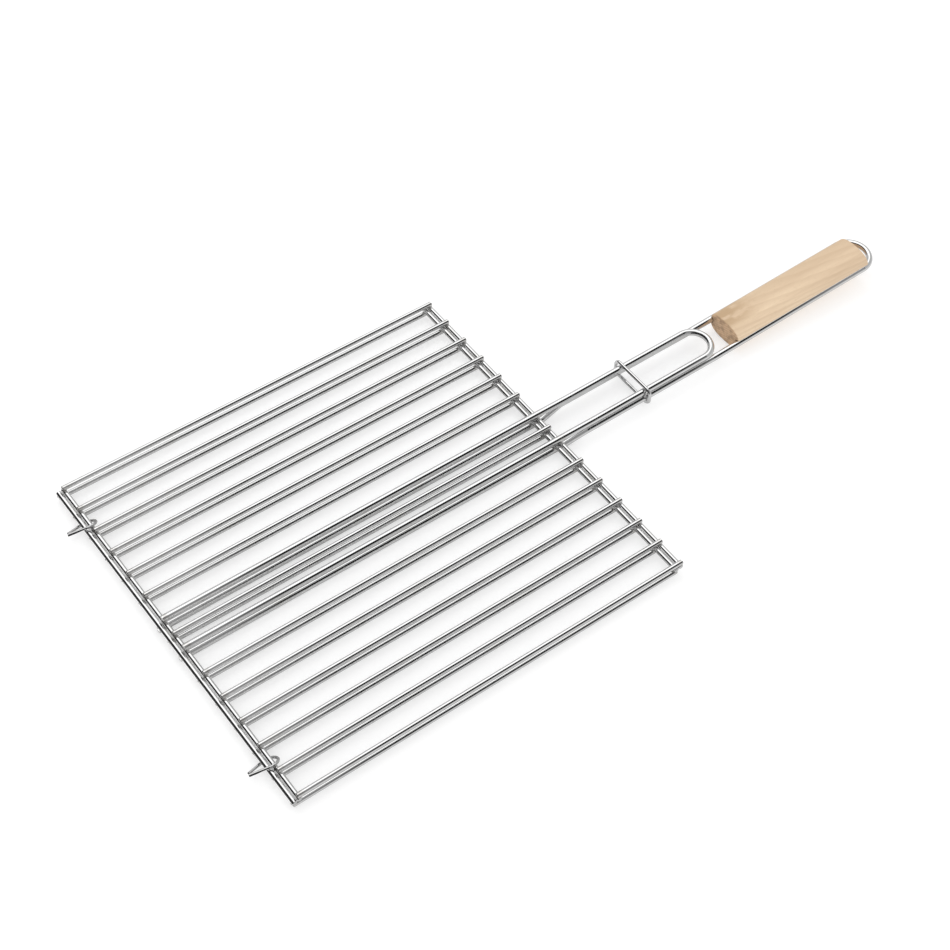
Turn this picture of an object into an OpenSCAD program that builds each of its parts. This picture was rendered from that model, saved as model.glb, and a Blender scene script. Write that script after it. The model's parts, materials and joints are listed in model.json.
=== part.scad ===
// Grill basket. Two flat grates of straight wire rods lie face to face and open like a book
// about their front edge, where two loose wire clips hold them together. Each grate has its own
// long U-shaped handle wire. The lower one carries a wooden grip and ends in a hang loop, and a
// sliding ring holds both handle wires together.
//
// The origin is the centre of the grates' footprint, on the surface the basket rests on.
// +X runs along the rods towards the grip and +Z is up. Rods are numbered from -Y to +Y.

/* [Grates] */
// Length of every straight rod
rod_length = 340; // [300:5:360]
// Diameter of the rods and the cross wires
rod_d = 4; // [3.8:0.05:4]
// Distance from the middle rod to the first rod beside it
middle_gap = 40.2; // [36:0.1:45]
// Spacing of the rods beyond the first
rod_pitch = 23.6; // [22:0.1:26]
// Distance from a rod's end to the axis of the cross wire near it
cross_inset = 1.5; // [1.4:0.05:1.6]
// Length of cross wire past the axis of the outermost rod
cross_overhang = 1.9; // [1:0.1:4]
// Distance the upper grate is set back from the lower one, towards the grip
grate_setback = 4.1; // [4.1:0.05:4.3]
// Height of the upper cross wires above the lower ones
nest_rise = 1; // [0.9:0.05:1.1]
// Depth that two welded wires sink into each other
weld_sink = 0.3; // [0.2:0.05:0.4]

/* [Handle wires] */
// Diameter of both handle wires
handle_d = 5.5; // [5.3:0.05:5.5]
// Distance of the legs from the centre line, between the grates
leg_y = 14.7; // [14.5:0.1:14.8]
// Distance from the end of the lower rods to the centre of the upper wire's round end
upper_reach = 149; // [144:1:150]
// Length of the lower handle wire's legs past its grate, up to the joggle
joggle_start = 5; // [4:0.5:8]
// Angle of the joggle that brings the lower wire up under the upper one
joggle_angle = 14; // [12:1:18]
// Clearance between the two handle wires, one above the other
leg_clearance = 0.05; // [0.05:0.01:0.15]
// Distance of the lower wire's legs from the centre line, past the joggle
grip_leg_y = 16.5; // [16.4:0.1:16.6]
// Centre-line radius of the small bends
bend_r = 20; // [15:1:25]
// Centre-line radius of the gentle bends that lift the handles
gentle_r = 100; // [80:5:150]
// Distance from the end of the lower rods to where both handle wires start to rise
lift_start = 36; // [34:1:40]
// Slope of both handle wires from there on
lift_angle = 1; // [0.8:0.1:1.4]
// Distance from the end of the lower rods to where the lower wire rises more steeply
rise_start = 156; // [155:1:158]
// Slope of the lower wire at the grip
grip_angle = 3; // [2.6:0.1:3.5]

/* [Grip] */
// Distance along the wire from the start of the slope to the grip
grip_offset = 24; // [22:0.5:28]
// Length of the grip
grip_length = 145; // [120:1:146]
// Width of the grip
grip_w = 34.8; // [34.4:0.1:35.2]
// Thickness of the grip
grip_t = 21.4; // [20:0.1:21.6]
// Roundness exponent of the grip's section: 2 is an ellipse, larger is squarer
grip_square = 2.5; // [2.2:0.1:3]
// Clearance between the handle wire and the groove it lies in
groove_clearance = 0.15; // [0.1:0.05:0.3]
// Length of the handle wire's legs past the start of the slope, up to the hang loop
hang_start = 164; // [163.5:0.5:172]

/* [Lock ring] */
// Diameter of the ring's wire
ring_d = 3; // [2.8:0.1:3]
// Distance along the handle from where the wires start to rise to the closed ring
ring_x = 50; // [40:1:60]
// Clearance between the ring and the handle wires
ring_clearance = 0.1; // [0.08:0.01:0.15]

/* [Hinge clips] */
// Diameter of the clips' wire
clip_d = 2.2; // [2:0.1:2.2]
// Centre-line radius of a clip's round end
clip_r = 6.8; // [6.8:0.05:7]
// Distance from the centre of the round end to the open tip
clip_nose = 15.4; // [14:0.1:17]
// Distance between the two wire ends at the tip
clip_gap = 3; // [2.6:0.1:3.4]
// Length by which one wire end stands out past the other
clip_overlap = 1.2; // [0:0.1:2]
// Tilt of a clip about the grate's length
clip_tilt = 37; // [36.5:0.5:38]
// Distance of each clip from the middle of the space between the two rods beside it
clip_offset = -1.35; // [-1.5:0.05:1.5]

/* [Hidden] */
$fn = 48;
side_rods = 6;
rods = 2 * side_rods + 1;
chamfer = 0.4;
// A ball this much thicker than the wire joins each bend to the straights beside it.
joint_swell = 0.06;
joint_gap = 0.1;
weld_bead = 0.3;

// Heights of the wire axes, built up from the surface the basket rests on.
lower_handle_z = handle_d / 2;
lower_cross_z = lower_handle_z + (handle_d + rod_d) / 2 - weld_sink;
lower_rod_z = lower_cross_z - rod_d + weld_sink;
upper_cross_z = lower_cross_z + nest_rise;
upper_rod_z = upper_cross_z + rod_d - weld_sink;
upper_handle_z = upper_cross_z + (handle_d + rod_d) / 2 - weld_sink;

// Each grate's rods start at its front X. The footprint of the pair is centred on the origin.
lower_front = -(rod_length + grate_setback) / 2;
upper_front = lower_front + grate_setback;
lower_rear = lower_front + rod_length;
upper_rear = upper_front + rod_length;
cross_length = 2 * (middle_gap + (side_rods - 1) * rod_pitch + cross_overhang);

// The joggle: one bend up and outwards, a straight run, and the same bend back.
leg_gap = handle_d + leg_clearance;
leg_spread = grip_leg_y - leg_y;
level_z = upper_handle_z - sqrt(leg_gap * leg_gap - leg_spread * leg_spread);
joggle_shift = norm([leg_spread, level_z - lower_handle_z]);
joggle_side = atan2(level_z - lower_handle_z, leg_spread);
joggle_run = (joggle_shift - 2 * bend_r * (1 - cos(joggle_angle))) / sin(joggle_angle);
joggle_length = 2 * bend_r * sin(joggle_angle) + joggle_run * cos(joggle_angle);

// Both handle wires start to rise at the same place, and the lower one rises again past the
// upper one's round end. Each slope has a frame of its own, with X along the lower wire.
lift_x = lower_rear + lift_start;
rise_run = rise_start - lift_start;
rise_turn = grip_angle - lift_angle;
lower_leg = [
  [rod_length + joggle_start, bend_r, joggle_angle, joggle_side],
  [joggle_run, bend_r, joggle_angle, joggle_side + 180],
  [lift_start - joggle_start - joggle_length, gentle_r, lift_angle, 90],
  [rise_run, gentle_r, rise_turn, 90]
];
upper_leg = [[rod_length + lift_start - grate_setback, gentle_r, lift_angle, 90]];

// The ring closes round the upper wire's top and the lower wire's underside, and its corners
// bend round the lower wire's legs.
ring_top = (upper_handle_z - level_z) * cos(lift_angle) + (handle_d + ring_d) / 2 + ring_clearance;
ring_bottom = -(handle_d + ring_d) / 2 - ring_clearance;
ring_bend_r = (handle_d + ring_d) / 2 + ring_clearance;
ring_side = ring_top - ring_bottom - 2 * ring_bend_r;

// A clip's legs are straight lines from the tip that meet its round end as tangents.
clip_reach = norm([clip_nose, clip_gap / 2]);
clip_angle = asin(clip_r / clip_reach) - atan2(clip_gap / 2, clip_nose);
clip_leg = sqrt(clip_reach * clip_reach - clip_r * clip_r);
clip_x = lower_front + grate_setback;
clip_z = (lower_cross_z + upper_cross_z) / 2 - 0.1;
clip_y = middle_gap + (side_rods - 2.5) * rod_pitch;

// Distance of a rod from the centre line. The middle rod stands alone, with a wide gap on each
// side for the handle wires.
function rod_y(i) =
  let (k = i - side_rods - 1)
  k == 0 ? 0 : sign(k) * (middle_gap + (abs(k) - 1) * rod_pitch);

// Outline of the grip: a superellipse, rounder than a rectangle and squarer than an ellipse.
function rounded(v) = sign(v) * pow(abs(v), 2 / grip_square);
function grip_outline() = [
  for (a = [0:4:356]) [grip_w / 2 * rounded(cos(a)), grip_t / 2 * rounded(sin(a))]
];

// A straight piece of wire along +Z with its cut ends broken.
module cut_wire(length, d) {
  rotate_extrude()
    polygon([
      [0, 0], [d / 2 - chamfer, 0], [d / 2, chamfer],
      [d / 2, length - chamfer], [d / 2 - chamfer, length], [0, length]
    ]);
}

// An arc of wire that starts at the origin along +Z and turns towards +X.
module wire_arc(d, radius, angle) {
  rotate([90, 0, 180])
    translate([-radius, 0, 0])
      rotate_extrude(angle = angle)
        translate([radius, 0])
          circle(d = d);
}

// A wire drawn the way it is bent, from the origin along +Z. Each step is
// [straight length, bend radius, bend angle, direction the bend turns to, from +X],
// and the last one is a straight with nothing after it.
module bent_wire(d, steps, i = 0) {
  run = steps[i][0];
  from = i == 0 ? 0 : joint_gap;
  to = run - (i < len(steps) - 1 ? joint_gap : 0);
  translate([0, 0, from])
    cylinder(h = to - from, d = d);
  if (i > 0)
    sphere(d = d + joint_swell);
  if (i < len(steps) - 1) {
    radius = steps[i][1];
    angle = steps[i][2];
    side = steps[i][3];
    translate([0, 0, run])
      rotate(side) {
        sphere(d = d + joint_swell);
        wire_arc(d, radius, angle);
        translate([radius * (1 - cos(angle)), 0, radius * sin(angle)])
          rotate([0, angle, 0])
            rotate(-side)
              bent_wire(d, steps, i + 1);
      }
  }
}

// The steps of a whole U: out along one leg, round its end and back along the other.
// leg lists the steps of the bends, and last is the straight between them and the round end.
function u_steps(leg, last, end_r) =
  let (n = len(leg))
  concat(
    leg,
    [[last, end_r, 180, 180]],
    [
      for (i = [n - 1:-1:0])
        [i == n - 1 ? last : leg[i + 1][0], leg[i][1], leg[i][2], leg[i][3]]
    ],
    [[n == 0 ? last : leg[0][0]]]
  );

// A U of wire that runs out along +X from y and back to -y.
module u_wire(d, y, steps) {
  translate([0, y, 0])
    rotate([90, 0, 90])
      bent_wire(d, steps);
}

// What follows is placed on the handle behind an upward bend of the given angle, which starts
// at the origin.
module past_bend(angle) {
  translate([gentle_r * sin(angle), 0, gentle_r * (1 - cos(angle))])
    rotate([0, -angle, 0])
      children();
}

// What follows is placed on the lower handle wire, past the bend where it starts to rise.
module on_handle() {
  translate([lift_x, 0, level_z])
    past_bend(lift_angle)
      children();
}

module rod(front, i, z) {
  color("silver")
    translate([front, rod_y(i), z])
      rotate([0, 90, 0])
        cut_wire(rod_length, rod_d);
}

module cross_wire(x, z) {
  color("silver")
    translate([x, cross_length / 2, z])
      rotate([90, 0, 0])
        cut_wire(cross_length, rod_d);
}

module lower_rod(i) {
  rod(lower_front, i, lower_rod_z);
}

module upper_rod(i) {
  rod(upper_front, i, upper_rod_z);
}

module lower_front_cross_wire() {
  cross_wire(lower_front + cross_inset, lower_cross_z);
}

module lower_rear_cross_wire() {
  cross_wire(lower_rear - cross_inset, lower_cross_z);
}

module upper_front_cross_wire() {
  cross_wire(upper_front + cross_inset, upper_cross_z);
}

module upper_rear_cross_wire() {
  cross_wire(upper_rear - cross_inset, upper_cross_z);
}

module upper_handle_wire() {
  color("silver")
    translate([upper_front, 0, upper_handle_z])
      u_wire(handle_d, leg_y, u_steps(upper_leg, upper_reach - lift_start, leg_y));
}

// The lower handle wire's outline at any diameter, so that the grip's grooves follow it.
module lower_handle_path(d) {
  translate([lower_front, 0, lower_handle_z])
    u_wire(d, leg_y, u_steps(lower_leg, hang_start, grip_leg_y));
}

module lower_handle_wire() {
  color("silver")
    lower_handle_path(handle_d);
}

module wood_grip() {
  color("burlywood")
    difference() {
      on_handle()
        translate([rise_run, 0, 0])
          past_bend(rise_turn)
            translate([grip_offset, 0, 0])
              rotate([90, 0, 90])
                linear_extrude(height = grip_length)
                  polygon(grip_outline());
      lower_handle_path(handle_d + 2 * groove_clearance);
    }
}

// The ring is one wire, bent from the middle of its lower bar and welded shut there.
module lock_ring() {
  color("silver")
    on_handle()
      translate([ring_x, 0, ring_bottom])
        rotate([-90, 0, 0]) {
          translate([0, 0, joint_gap])
            bent_wire(ring_d, [
              [grip_leg_y - joint_gap, ring_bend_r, 90, 270],
              [ring_side, ring_bend_r, 90, 270],
              [2 * grip_leg_y, ring_bend_r, 90, 270],
              [ring_side, ring_bend_r, 90, 270],
              [grip_leg_y - joint_gap]
            ]);
          sphere(d = ring_d + weld_bead);
        }
}

// A clip with its eye round both front cross wires and its upper leg on the -Y side.
// The wire starts at the tip, runs back along the upper leg, and returns below.
module hinge_clip(y) {
  color("silver")
    translate([clip_x, y + clip_offset, clip_z])
      rotate([90 - clip_tilt, 0, 0])
        translate([-clip_nose, 0, clip_gap / 2])
          rotate([0, 90 - clip_angle, 0])
            translate([0, 0, -clip_overlap])
              bent_wire(clip_d, [
                [clip_leg + clip_overlap, clip_r, 180 + 2 * clip_angle, 0],
                [clip_leg]
              ]);
}

module hinge_clip_left() {
  hinge_clip(clip_y);
}

module hinge_clip_right() {
  hinge_clip(-clip_y);
}

for (i = [1:rods]) {
  lower_rod(i);
  upper_rod(i);
}
lower_front_cross_wire();
lower_rear_cross_wire();
upper_front_cross_wire();
upper_rear_cross_wire();
lower_handle_wire();
upper_handle_wire();
wood_grip();
lock_ring();
hinge_clip_left();
hinge_clip_right();
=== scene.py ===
import json
import math

import bmesh
import bpy
from mathutils import Matrix, Vector, noise


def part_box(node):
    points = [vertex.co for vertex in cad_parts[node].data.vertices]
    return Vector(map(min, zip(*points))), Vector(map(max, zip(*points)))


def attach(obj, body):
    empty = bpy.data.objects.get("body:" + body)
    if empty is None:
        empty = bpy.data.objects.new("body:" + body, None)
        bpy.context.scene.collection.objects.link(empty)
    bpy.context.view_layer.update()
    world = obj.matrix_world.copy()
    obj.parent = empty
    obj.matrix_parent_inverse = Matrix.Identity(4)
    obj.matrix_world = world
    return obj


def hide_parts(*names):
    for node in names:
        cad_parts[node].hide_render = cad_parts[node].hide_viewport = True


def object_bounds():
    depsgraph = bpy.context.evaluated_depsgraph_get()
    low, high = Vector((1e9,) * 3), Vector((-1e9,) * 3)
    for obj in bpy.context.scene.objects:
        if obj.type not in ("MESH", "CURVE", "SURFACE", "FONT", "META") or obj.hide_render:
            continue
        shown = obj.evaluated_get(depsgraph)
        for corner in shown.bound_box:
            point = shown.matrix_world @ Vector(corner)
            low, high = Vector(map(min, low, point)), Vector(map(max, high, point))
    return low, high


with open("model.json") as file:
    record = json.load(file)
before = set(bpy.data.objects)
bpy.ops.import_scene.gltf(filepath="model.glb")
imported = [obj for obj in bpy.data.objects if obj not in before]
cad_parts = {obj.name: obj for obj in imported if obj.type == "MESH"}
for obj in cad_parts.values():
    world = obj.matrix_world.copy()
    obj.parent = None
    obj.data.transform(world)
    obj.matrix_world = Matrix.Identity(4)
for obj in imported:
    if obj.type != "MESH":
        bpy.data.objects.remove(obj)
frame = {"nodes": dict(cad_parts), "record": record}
cad_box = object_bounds()

MM = 0.001
LOWER, UPPER = "lower_grate", "upper_grate"
BODY_NODES = frame["record"]["behaviour"]["bodies"]


# ---------------------------------------------------------------- places, from the frame

def centre(node):
    low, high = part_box(node)
    return (low + high) / 2


def size(node):
    low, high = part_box(node)
    return high - low


def cross_wire_x(body):
    """The X of a grate's front and rear cross wires."""
    grate = body.split("_")[0]
    return [centre(f"{grate}_{end}_cross_wire").x for end in ("front", "rear")]


# ---------------------------------------------------------------- shader helpers

class Shader:
    """A short way to write a node tree: each call adds one node and returns its output."""

    def __init__(self, tree):
        self.tree = tree
        tree.nodes.clear()

    def add(self, kind, **settings):
        node = self.tree.nodes.new(kind)
        for name, value in settings.items():
            setattr(node, name, value)
        return node

    def feed(self, socket, value):
        if isinstance(value, bpy.types.NodeSocket):
            self.tree.links.new(value, socket)
        else:
            socket.default_value = value

    def math(self, operation, *values):
        node = self.add("ShaderNodeMath", operation=operation)
        for socket, value in zip(node.inputs, values):
            self.feed(socket, value)
        return node.outputs[0]

    def xyz(self, vector):
        node = self.add("ShaderNodeSeparateXYZ")
        self.feed(node.inputs[0], vector)
        return node.outputs

    def position(self):
        """The place on the piece at rest, in metres."""
        return self.add("ShaderNodeTexCoord").outputs["Object"]

    def noise(self, vector, scale=1.0, detail=3):
        """Cloudy noise with this many swells to the metre."""
        node = self.add("ShaderNodeTexNoise")
        for name, value in (("Vector", vector), ("Scale", scale), ("Detail", detail)):
            self.feed(node.inputs[name], value)
        return node.outputs[0]

    def cells(self, vector, scale=1.0):
        """The distance to the nearest of scattered points."""
        node = self.add("ShaderNodeTexVoronoi", feature="F1")
        self.feed(node.inputs["Vector"], vector)
        self.feed(node.inputs["Scale"], scale)
        return node.outputs["Distance"]

    def stretch(self, vector, scale):
        node = self.add("ShaderNodeVectorMath", operation="MULTIPLY")
        self.feed(node.inputs[0], vector)
        self.feed(node.inputs[1], scale)
        return node.outputs[0]

    def remap(self, value, low, high, to_low=0.0, to_high=1.0):
        """A smooth step from to_low to to_high while the value goes from low to high."""
        node = self.add("ShaderNodeMapRange", interpolation_type="SMOOTHSTEP")
        for socket, number in zip(node.inputs, (value, low, high, to_low, to_high)):
            self.feed(socket, number)
        return node.outputs[0]

    def ramp(self, value, stops):
        node = self.add("ShaderNodeValToRGB")
        self.feed(node.inputs[0], value)
        marks = node.color_ramp.elements
        while len(marks) < len(stops):
            marks.new(1.0)
        for mark, (place, colour) in zip(marks, stops):
            mark.position = place
            mark.color = colour if len(colour) == 4 else (*colour, 1)
        return node.outputs[0]

    def mix(self, share, a, b, blend="MIX"):
        node = self.add("ShaderNodeMix", data_type="RGBA", blend_type=blend)
        self.feed(node.inputs[0], share)
        self.feed(node.inputs[6], a if isinstance(a, bpy.types.NodeSocket) else (*a, 1))
        self.feed(node.inputs[7], b if isinstance(b, bpy.types.NodeSocket) else (*b, 1))
        return node.outputs[2]

    def bump(self, height, distance, normal=None):
        node = self.add("ShaderNodeBump")
        self.feed(node.inputs["Height"], height)
        self.feed(node.inputs["Distance"], distance)
        self.feed(node.inputs["Strength"], 1.0)
        if normal is not None:
            self.feed(node.inputs["Normal"], normal)
        return node.outputs[0]

    def surface(self, **inputs):
        node = self.add("ShaderNodeBsdfPrincipled")
        for name, value in inputs.items():
            self.feed(node.inputs[name.replace("_", " ")], value)
        out = self.add("ShaderNodeOutputMaterial")
        self.tree.links.new(node.outputs[0], out.inputs[0])


def new_material(name):
    material = bpy.data.materials.new(name)
    material.use_nodes = True
    return material, Shader(material.node_tree)


def grey(value):
    return (value, value, value)


# ---------------------------------------------------------------- materials

# How fine the drawing lines on a wire are, to the metre along each axis.
LINES = {"x": (60, 3500, 3500), "y": (3500, 60, 3500), "any": (1500, 1500, 1500)}
LINE_DEPTH, PIT_DEPTH = 0.0008 * MM, 0.02 * MM
SCORCH_REACH, SCORCH_FULL = 5 * MM, 2.2 * MM
SCORCH = (0.50, 0.47, 0.43)


def wire_material(name, along, tone=0.86, welds=()):
    """Bright plated wire: fine drawing lines along it, dull patches and small pits, and a
    darker, rougher band beside each weld."""
    material, s = new_material(name)
    place = s.position()
    lines = s.noise(s.stretch(place, LINES[along]), detail=2)
    dull = s.remap(s.noise(place, 55, detail=4), 0.45, 0.75)
    pits = s.remap(s.cells(place, 900), 0.10, 0.03)
    pits = s.math("MULTIPLY", pits, s.remap(s.noise(place, 130), 0.55, 0.7))
    colour = s.mix(dull, grey(tone), (tone * 0.93, tone * 0.925, tone * 0.91))
    rough = s.remap(lines, 0.25, 0.8, 0.02, 0.06)
    rough = s.math("ADD", rough, s.math("MULTIPLY", dull, 0.03))
    if welds:
        x = s.xyz(place)[0]
        gaps = [s.math("ABSOLUTE", s.math("SUBTRACT", x, weld_x)) for weld_x in welds]
        near = s.remap(s.math("MINIMUM", *gaps), SCORCH_REACH, SCORCH_FULL)
        near = s.math("MULTIPLY", near, s.remap(s.noise(place, 420), 0.3, 0.7))
        colour = s.mix(s.math("MULTIPLY", near, 0.5), colour, SCORCH)
        rough = s.math("ADD", rough, s.math("MULTIPLY", near, 0.16))
    normal = s.bump(lines, LINE_DEPTH)
    normal = s.bump(s.math("SUBTRACT", 1.0, pits), PIT_DEPTH, normal)
    s.surface(Base_Color=colour, Metallic=1.0, Roughness=rough, Normal=normal)
    return material


def weld_material():
    """Squeezed-out weld metal under the plating: duller and uneven."""
    material, s = new_material("weld_metal")
    place = s.position()
    patch = s.noise(place, 700, detail=3)
    colour = s.ramp(patch, [(0.3, (0.42, 0.40, 0.37)), (0.7, (0.72, 0.71, 0.70))])
    s.surface(Base_Color=colour, Metallic=1.0, Roughness=s.remap(patch, 0.3, 0.7, 0.25, 0.45),
              Normal=s.bump(patch, 0.05 * MM))
    return material


RING_GAP = 2.3 * MM
PITH_SIDE, PITH_DEPTH, PITH_LEAN = 14 * MM, 34 * MM, 0.008
RING_WANDER = 9 * MM
MOTTLE_END, MOTTLE_FULL = 42 * MM, 6 * MM
# How far the painted shade in the gap round the wire reaches.
GAP_SHADE_REACH = 2.5 * MM
FIBRE_DEPTH, FLECK_DEPTH = 0.03 * MM, 0.05 * MM


def wood_material(grip_start):
    """Pale sanded hardwood cut from one solid pattern, so that the rings of the end grain run
    out as the long grain on top."""
    material, s = new_material("grip_wood")
    place = s.position()
    x, y, z = s.xyz(place)[0:3]
    # Growth rings round a pith that lies well below the grip and runs nearly along it.
    drift = s.noise(s.stretch(place, (7, 40, 40)))
    wander = s.math("MULTIPLY", s.math("SUBTRACT", drift, 0.5), RING_WANDER)
    pith_y = s.math("ADD", s.math("MULTIPLY", x, PITH_LEAN), PITH_SIDE)
    across = s.math("ADD", s.math("ADD", y, pith_y), wander)
    down = s.math("ADD", z, PITH_DEPTH)
    squares = [s.math("POWER", leg, 2.0) for leg in (across, down)]
    radius = s.math("SQRT", s.math("ADD", *squares))
    ring = s.math("FRACT", s.math("MULTIPLY", radius, 1 / RING_GAP))
    late = s.math("MULTIPLY", s.remap(ring, 0.25, 0.92), s.remap(ring, 1.0, 0.94))
    figure = s.noise(s.stretch(place, (9, 150, 150)), detail=4)
    fibre = s.noise(s.stretch(place, (70, 2200, 2200)))
    fleck_cells = s.cells(s.stretch(place, (200, 1500, 1500)))
    fleck = s.math("MULTIPLY", s.remap(fleck_cells, 0.20, 0.07), s.remap(figure, 0.42, 0.6))
    colour = s.ramp(figure, [(0.28, (0.640, 0.475, 0.320)), (0.5, (0.735, 0.560, 0.388)),
                             (0.72, (0.815, 0.640, 0.450))])
    # Painted shade: the far side of the grip is painted a shade darker.
    far_side_shade = s.remap(s.math("ADD", y, wander), -9 * MM, 11 * MM, 0.0, 0.78)
    colour = s.mix(far_side_shade, colour, (0.645, 0.482, 0.325))
    colour = s.mix(s.math("MULTIPLY", late, 0.20), colour, (0.52, 0.36, 0.22))
    colour = s.mix(s.math("MULTIPLY", fleck, 0.45), colour, (0.40, 0.26, 0.15))
    colour = s.mix(s.remap(fibre, 0.5, 0.8, 0.0, 0.30), colour, (0.56, 0.40, 0.26))
    # Darker mottling towards the front of the grip, fading out towards its near side.
    front = s.remap(x, grip_start + MOTTLE_END, grip_start + MOTTLE_FULL)
    front = s.math("MULTIPLY", front, s.remap(y, -13 * MM, 2 * MM))
    blotch = s.remap(s.noise(s.stretch(place, (70, 150, 150)), detail=6), 0.30, 0.52)
    colour = s.mix(s.math("MULTIPLY", s.math("MULTIPLY", front, blotch), 0.85), colour,
                   (0.49, 0.335, 0.195))
    # End grain drinks more finish, so faces that look along the grip are darker.
    facing = s.xyz(s.add("ShaderNodeNewGeometry").outputs["Normal"])[0]
    end = s.remap(s.math("ABSOLUTE", facing), 0.55, 0.9)
    pores = s.remap(s.cells(s.stretch(place, (300, 1700, 1700))), 0.35, 0.1)
    cloud = s.remap(s.noise(s.stretch(place, (100, 240, 240)), detail=4), 0.4, 0.62)
    grain = s.mix(cloud, (0.60, 0.405, 0.25), (0.40, 0.265, 0.165))
    grain = s.mix(s.math("MULTIPLY", late, 0.35), grain, (0.30, 0.19, 0.11))
    grain = s.mix(s.math("MULTIPLY", pores, 0.45), grain, (0.17, 0.105, 0.065))
    colour = s.mix(end, colour, grain)
    # Painted shade: the wood is painted dark in the narrow gap round the wire, where the wire
    # shades it.
    gap = s.add("ShaderNodeAmbientOcclusion")
    s.feed(gap.inputs["Distance"], GAP_SHADE_REACH)
    painted_gap_shade = s.remap(gap.outputs["AO"], 0.45, 0.1, 0.0, 0.85)
    colour = s.mix(painted_gap_shade, colour, (0.07, 0.042, 0.026))
    rough = s.remap(fibre, 0.2, 0.8, 0.50, 0.66)
    normal = s.bump(fibre, FIBRE_DEPTH)
    normal = s.bump(s.math("SUBTRACT", 1.0, fleck), FLECK_DEPTH, normal)
    s.surface(Base_Color=colour, Roughness=rough, Normal=normal, Specular_IOR_Level=0.3)
    return material


FLOOR_TONE, FLOOR_GLOW = 0.56, 0.50
MIRRORED_TONE, MIRRORED_DARK, TIP_GLOW = 0.66, 0.06, 0.7


def floor_material(front):
    """A plain pale table that glows a little, so that the shadows on it stay light. Wires mirror
    it as plain grey under the grates, brighter just past the front cross wires, where the tips
    of the lower rods see it, and nearly black further out."""
    material, s = new_material("studio_floor")
    mirrored = s.add("ShaderNodeLightPath").outputs["Is Glossy Ray"]
    x = s.xyz(s.position())[0]
    far_out = s.remap(x, front - 6 * MM, front - 9 * MM)
    past_front = s.remap(x, front - 1.5 * MM, front - 2.5 * MM)
    at_tips = s.math("MULTIPLY", s.math("SUBTRACT", past_front, far_out), TIP_GLOW)
    glow = s.math("ADD", s.math("MULTIPLY", mirrored, at_tips),
                  s.remap(mirrored, 0, 1, FLOOR_GLOW, 0.0))
    mirror = s.mix(far_out, grey(MIRRORED_TONE), grey(MIRRORED_DARK))
    s.surface(Base_Color=s.mix(mirrored, grey(FLOOR_TONE), mirror), Roughness=0.9,
              Specular_IOR_Level=0.0, Emission_Color=(1, 1, 1, 1), Emission_Strength=glow)
    return material


# ---------------------------------------------------------------- wires

def dress(node, material):
    slots = frame["nodes"][node].data.materials
    slots.clear()
    slots.append(material)


def finish_wires():
    for body in (LOWER, UPPER):
        rods = wire_material(f"{body}_rods", "x", welds=cross_wire_x(body))
        cross = wire_material(f"{body}_cross_wires", "y")
        handle = wire_material(f"{body}_handle", "x", tone=0.88, welds=cross_wire_x(body))
        for node in BODY_NODES[body]:
            if "_rod_" in node:
                dress(node, rods)
            elif "cross_wire" in node:
                dress(node, cross)
            elif "handle" in node:
                dress(node, handle)
    dress("lock_ring", wire_material("ring_wire", "y", tone=0.84))
    # Painted shade: the hinge clips' wire gets a darker tone than the other wires.
    clip = wire_material("clip_wire", "any", tone=0.68)
    dress("hinge_clip_left", clip)
    dress("hinge_clip_right", clip)


# ---------------------------------------------------------------- weld beads

def add_piece(name, mesh, material):
    """A new object made of this mesh, which is used up."""
    data = bpy.data.meshes.new(name)
    mesh.to_mesh(data)
    mesh.free()
    data.materials.append(material)
    piece = bpy.data.objects.new(name, data)
    bpy.context.scene.collection.objects.link(piece)
    return piece


LEG_Y = 14.7 * MM
BEAD_SEGMENTS, BEAD_RINGS = 16, 8
BEAD_RADII = (2.05 * MM, 2.05 * MM, 0.75 * MM)
BEAD_SINK = 0.15 * MM
BEAD_UNEVEN = 0.12


def add_bead(mesh, place, seed):
    """A small flattened blob of weld metal, slightly uneven."""
    bead = bmesh.ops.create_uvsphere(mesh, u_segments=BEAD_SEGMENTS, v_segments=BEAD_RINGS,
                                     radius=1)
    for vertex in bead["verts"]:
        wave = noise.noise(vertex.co * 1.7 + Vector((seed, 3.1 * seed, 0)))
        swell = 1 + BEAD_UNEVEN * wave
        vertex.co = Vector(c * r * swell for c, r in zip(vertex.co, BEAD_RADII)) + place


def build_welds(body, material):
    """One bead at each crossing of a rod or a handle leg with a cross wire."""
    grate = body.split("_")[0]
    cross_z = centre(f"{grate}_front_cross_wire").z
    cross_r = size(f"{grate}_front_cross_wire").z / 2
    rods = [n for n in BODY_NODES[body] if "_rod_" in n]
    side = 1 if centre(rods[0]).z > cross_z else -1
    bead_z = cross_z + side * (cross_r - BEAD_SINK)
    bead_ys = [centre(n).y for n in rods] + [LEG_Y, -LEG_Y]
    spots = [(x, y) for x in cross_wire_x(body) for y in bead_ys]
    mesh = bmesh.new()
    for seed, (x, y) in enumerate(spots, start=1):
        add_bead(mesh, Vector((x, y, bead_z)), seed)
    beads = add_piece(f"{grate}_weld_beads", mesh, material)
    for face in beads.data.polygons:
        face.use_smooth = True
    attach(beads, body)


# ---------------------------------------------------------------- grip

GRIP_TILT = math.radians(3)
GRIP_LENGTH, GRIP_WIDTH, GRIP_THICK = 145 * MM, 34.8 * MM, 21.4 * MM
GRIP_SQUARE = 2.5
GROOVE_R, GROOVE_FLARE = 2.9 * MM, 0.3
LOOP_R = 16.5 * MM
LOOP_START = 140 * MM
EDGE = 1.3 * MM
EDGE_STEPS, LENGTH_STEPS, LOOP_STEP = 4, 30, 1.2 * MM
CREST_STEPS, GROOVE_STEPS, HALVINGS = 46, 14, 40
SHARP_ANGLE = math.radians(38)


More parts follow.
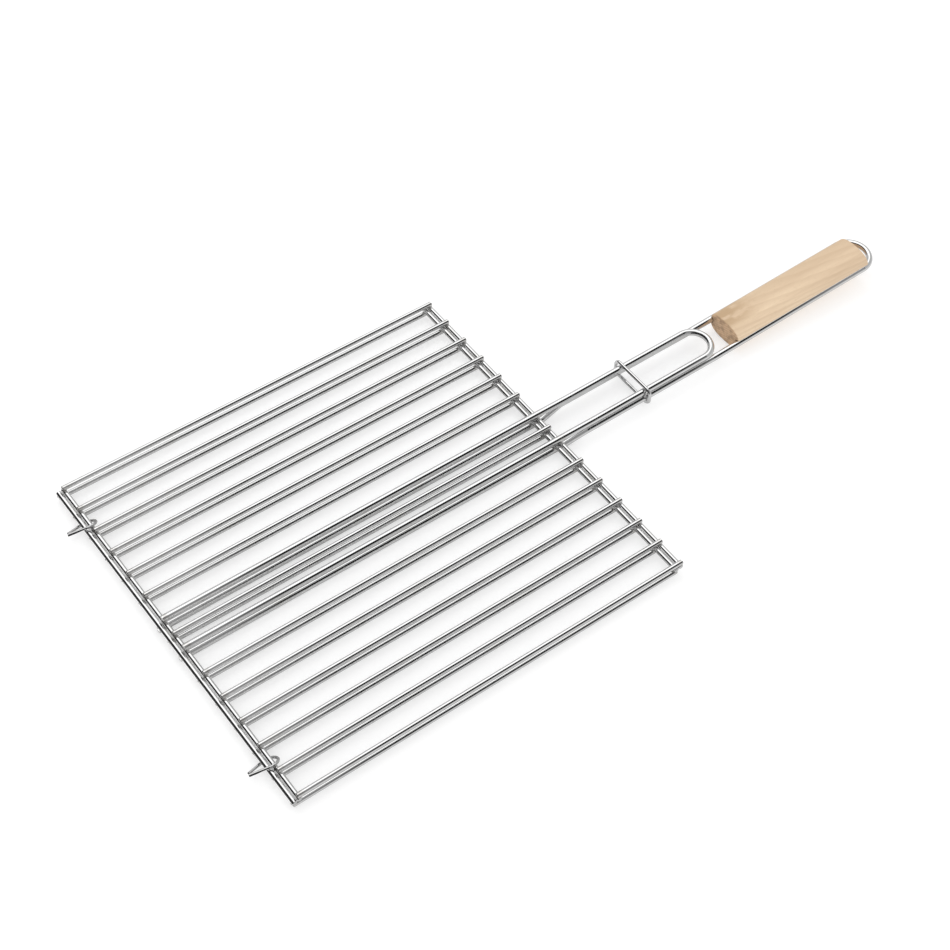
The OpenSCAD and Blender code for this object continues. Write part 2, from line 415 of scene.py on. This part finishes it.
def grip_section(half_w, half_t, groove_y, groove_r):
    """The grip's outline at one place: a superellipse with a round groove in each side."""
    def on_oval(angle):
        c, s = math.cos(angle), math.sin(angle)
        return (half_w * math.copysign(abs(c) ** (2 / GRIP_SQUARE), c),
                half_t * math.copysign(abs(s) ** (2 / GRIP_SQUARE), s))

    low, high = 0.0, math.pi / 2
    for _ in range(HALVINGS):
        mid = (low + high) / 2
        y, z = on_oval(mid)
        low, high = (mid, high) if math.hypot(y - groove_y, z) < groove_r else (low, mid)
    mouth_y, mouth_z = on_oval(high)
    mouth = math.atan2(mouth_z, mouth_y - groove_y)
    top = [on_oval(high + (math.pi - 2 * high) * i / CREST_STEPS)
           for i in range(CREST_STEPS + 1)]
    dip = [mouth + (2 * math.pi - 2 * mouth) * i / GROOVE_STEPS
           for i in range(GROOVE_STEPS - 1, 0, -1)]
    right = [(groove_y + groove_r * math.cos(a), groove_r * math.sin(a)) for a in dip]
    under = [(-y, -z) for y, z in top]
    left = [(-y, -z) for y, z in right]
    return top + left + under + right


def grip_stations():
    """Places along the grip, each with how far the outline is drawn in there."""
    turns = [math.radians(90 * i / EDGE_STEPS) for i in range(EDGE_STEPS + 1)]
    edge = [(EDGE * (1 - math.cos(a)), EDGE * (1 - math.sin(a))) for a in turns]
    body = [GRIP_LENGTH * i / LENGTH_STEPS for i in range(1, LENGTH_STEPS - 1)]
    loop = [LOOP_START + LOOP_STEP * i for i in range(3)]
    far_edge = [(GRIP_LENGTH - x, inset) for x, inset in reversed(edge)]
    return edge + [(x, 0.0) for x in body + loop] + far_edge


def build_grip(material):
    """The shaped and sanded grip, with softened end edges and the two grooves that the lower
    handle wire lies in. The grooves follow the wire into its hang loop at the far end."""
    middle = centre("wood_grip")
    along = Vector((math.cos(GRIP_TILT), 0, math.sin(GRIP_TILT)))
    up = Vector((-math.sin(GRIP_TILT), 0, math.cos(GRIP_TILT)))
    mesh = bmesh.new()
    rings = []
    for x, inset in grip_stations():
        past = max(0.0, x - LOOP_START)
        groove_y = math.sqrt(LOOP_R ** 2 - past ** 2)
        outline = grip_section(GRIP_WIDTH / 2 - inset, GRIP_THICK / 2 - inset, groove_y,
                               GROOVE_R + GROOVE_FLARE * inset)
        start = middle + along * (x - GRIP_LENGTH / 2)
        rings.append([mesh.verts.new(start + Vector((0, y, 0)) + up * z) for y, z in outline])
    for a, b in zip(rings, rings[1:]):
        for i in range(len(a)):
            k = (i + 1) % len(a)
            mesh.faces.new((a[i], b[i], b[k], a[k]))
    mesh.faces.new(rings[0])
    mesh.faces.new(list(reversed(rings[-1])))
    bmesh.ops.recalc_face_normals(mesh, faces=mesh.faces)
    grip = add_piece("grip", mesh, material)
    for face in grip.data.polygons:
        face.use_smooth = len(face.vertices) == 4
    grip.data.set_sharp_from_angle(angle=SHARP_ANGLE)
    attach(grip, LOWER)
    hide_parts("wood_grip")


# ---------------------------------------------------------------- studio

CAMERA_AZIMUTH, CAMERA_ELEVATION, CAMERA_ROLL = -40.30, 51.32, 4.58
CAMERA_DISTANCE = 1.4736
CAMERA_TARGET = Vector((0.0957, -0.0046, 0.010))
CAMERA_LENS, CAMERA_SENSOR = 73.29, 36


def turned_camera():
    """The camera's right, up and back directions, with its roll."""
    az, el, roll = (math.radians(a) for a in (CAMERA_AZIMUTH, CAMERA_ELEVATION, CAMERA_ROLL))
    back = Vector((math.sin(az) * math.cos(el), -math.cos(az) * math.cos(el), math.sin(el)))
    right = (-back).cross(Vector((0, 0, 1))).normalized()
    up = right.cross(-back)
    return (math.cos(roll) * right + math.sin(roll) * up,
            math.cos(roll) * up - math.sin(roll) * right, back)


def add_camera():
    right, up, back = turned_camera()
    turn = Matrix((right, up, back)).transposed().to_4x4()
    turn.translation = CAMERA_TARGET + back * CAMERA_DISTANCE
    lens = bpy.data.cameras.new("camera")
    lens.lens, lens.sensor_width = CAMERA_LENS, CAMERA_SENSOR
    lens.clip_start = 0.01
    camera = bpy.data.objects.new("camera", lens)
    camera.matrix_world = turn
    bpy.context.scene.collection.objects.link(camera)
    bpy.context.scene.camera = camera


FLOOR_SIDE = 30


def add_floor(height):
    bpy.ops.mesh.primitive_plane_add(size=FLOOR_SIDE, location=(0, 0, height))
    floor = bpy.context.object
    floor.name = "studio_floor"
    floor.data.materials.append(floor_material(cross_wire_x(LOWER)[0]))


KEY_PLACE, KEY_TARGET = Vector((0.3, 1.6, 2.0)), Vector((0.1, 0, 0))
KEY_SIDE, KEY_POWER = 1.6, 10


def add_soft_box():
    """One large lamp beyond the far side. The wires don't mirror it."""
    light = bpy.data.lights.new("key", "AREA")
    light.shape, light.size, light.energy = "SQUARE", KEY_SIDE, KEY_POWER
    lamp = bpy.data.objects.new("key", light)
    lamp.matrix_world = (KEY_PLACE - KEY_TARGET).to_track_quat("Z", "Y").to_matrix().to_4x4()
    lamp.location = KEY_PLACE
    lamp.visible_glossy = False
    bpy.context.scene.collection.objects.link(lamp)


MIRRORED_WHITE = 1.35
SOFT_LIGHT = 1.0
DARK, PALE = grey(0.015), grey(0.20)


def light_room():
    """A white studio round the object. As the wires mirror it, it is white on the far side, has a
    dark gap overhead towards the near side, and is grey low down. The gap is paler where the
    front ends of the rods and the grip's end of the handle mirror it. Far off to the rear the
    room is plain grey, and ahead of the grates it is black."""
    world = bpy.data.worlds.new("studio")
    world.use_nodes = True
    bpy.context.scene.world = world
    s = Shader(world.node_tree)
    x, y, z = s.xyz(s.add("ShaderNodeTexCoord").outputs["Generated"])[0:3]
    # Half a turn over the object, from the far side to the near side.
    turn = s.math("DIVIDE", s.math("ARCTAN2", z, y), math.pi)
    far_side = [(0.00, grey(0.40)), (0.20, grey(0.40)), (0.25, grey(1.0)), (0.50, grey(1.0))]
    dark_gap = s.ramp(turn, far_side + [(0.555, DARK), (0.82, DARK), (0.90, grey(0.25)),
                                        (1.00, grey(0.42))])
    pale_gap = s.ramp(turn, far_side + [(0.555, PALE), (0.82, PALE), (1.00, grey(0.42))])
    at_ends = s.math("MAXIMUM", s.remap(x, 0.305, 0.245), s.remap(x, 0.48, 0.52))
    room = s.mix(at_ends, dark_gap, pale_gap)
    room = s.mix(s.remap(x, 0.50, 0.66), room, grey(0.36))
    room = s.mix(s.remap(x, -0.26, -0.38), room, grey(0.02))
    rays = s.add("ShaderNodeLightPath").outputs
    room = s.mix(1.0, room, grey(MIRRORED_WHITE), blend="MULTIPLY")
    colour = s.mix(rays["Is Glossy Ray"], grey(SOFT_LIGHT), room)
    colour = s.mix(rays["Is Camera Ray"], colour, grey(1.0))
    background = s.add("ShaderNodeBackground")
    s.feed(background.inputs[0], colour)
    out = s.add("ShaderNodeOutputWorld")
    world.node_tree.links.new(background.outputs[0], out.inputs[0])


# ---------------------------------------------------------------- the scene

finish_wires()
weld_metal = weld_material()
build_welds(LOWER, weld_metal)
build_welds(UPPER, weld_metal)
build_grip(wood_material(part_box("wood_grip")[0].x))

add_camera()
add_floor(cad_box[0].z)
light_room()
add_soft_box()
bpy.context.scene.view_settings.view_transform = "Standard"
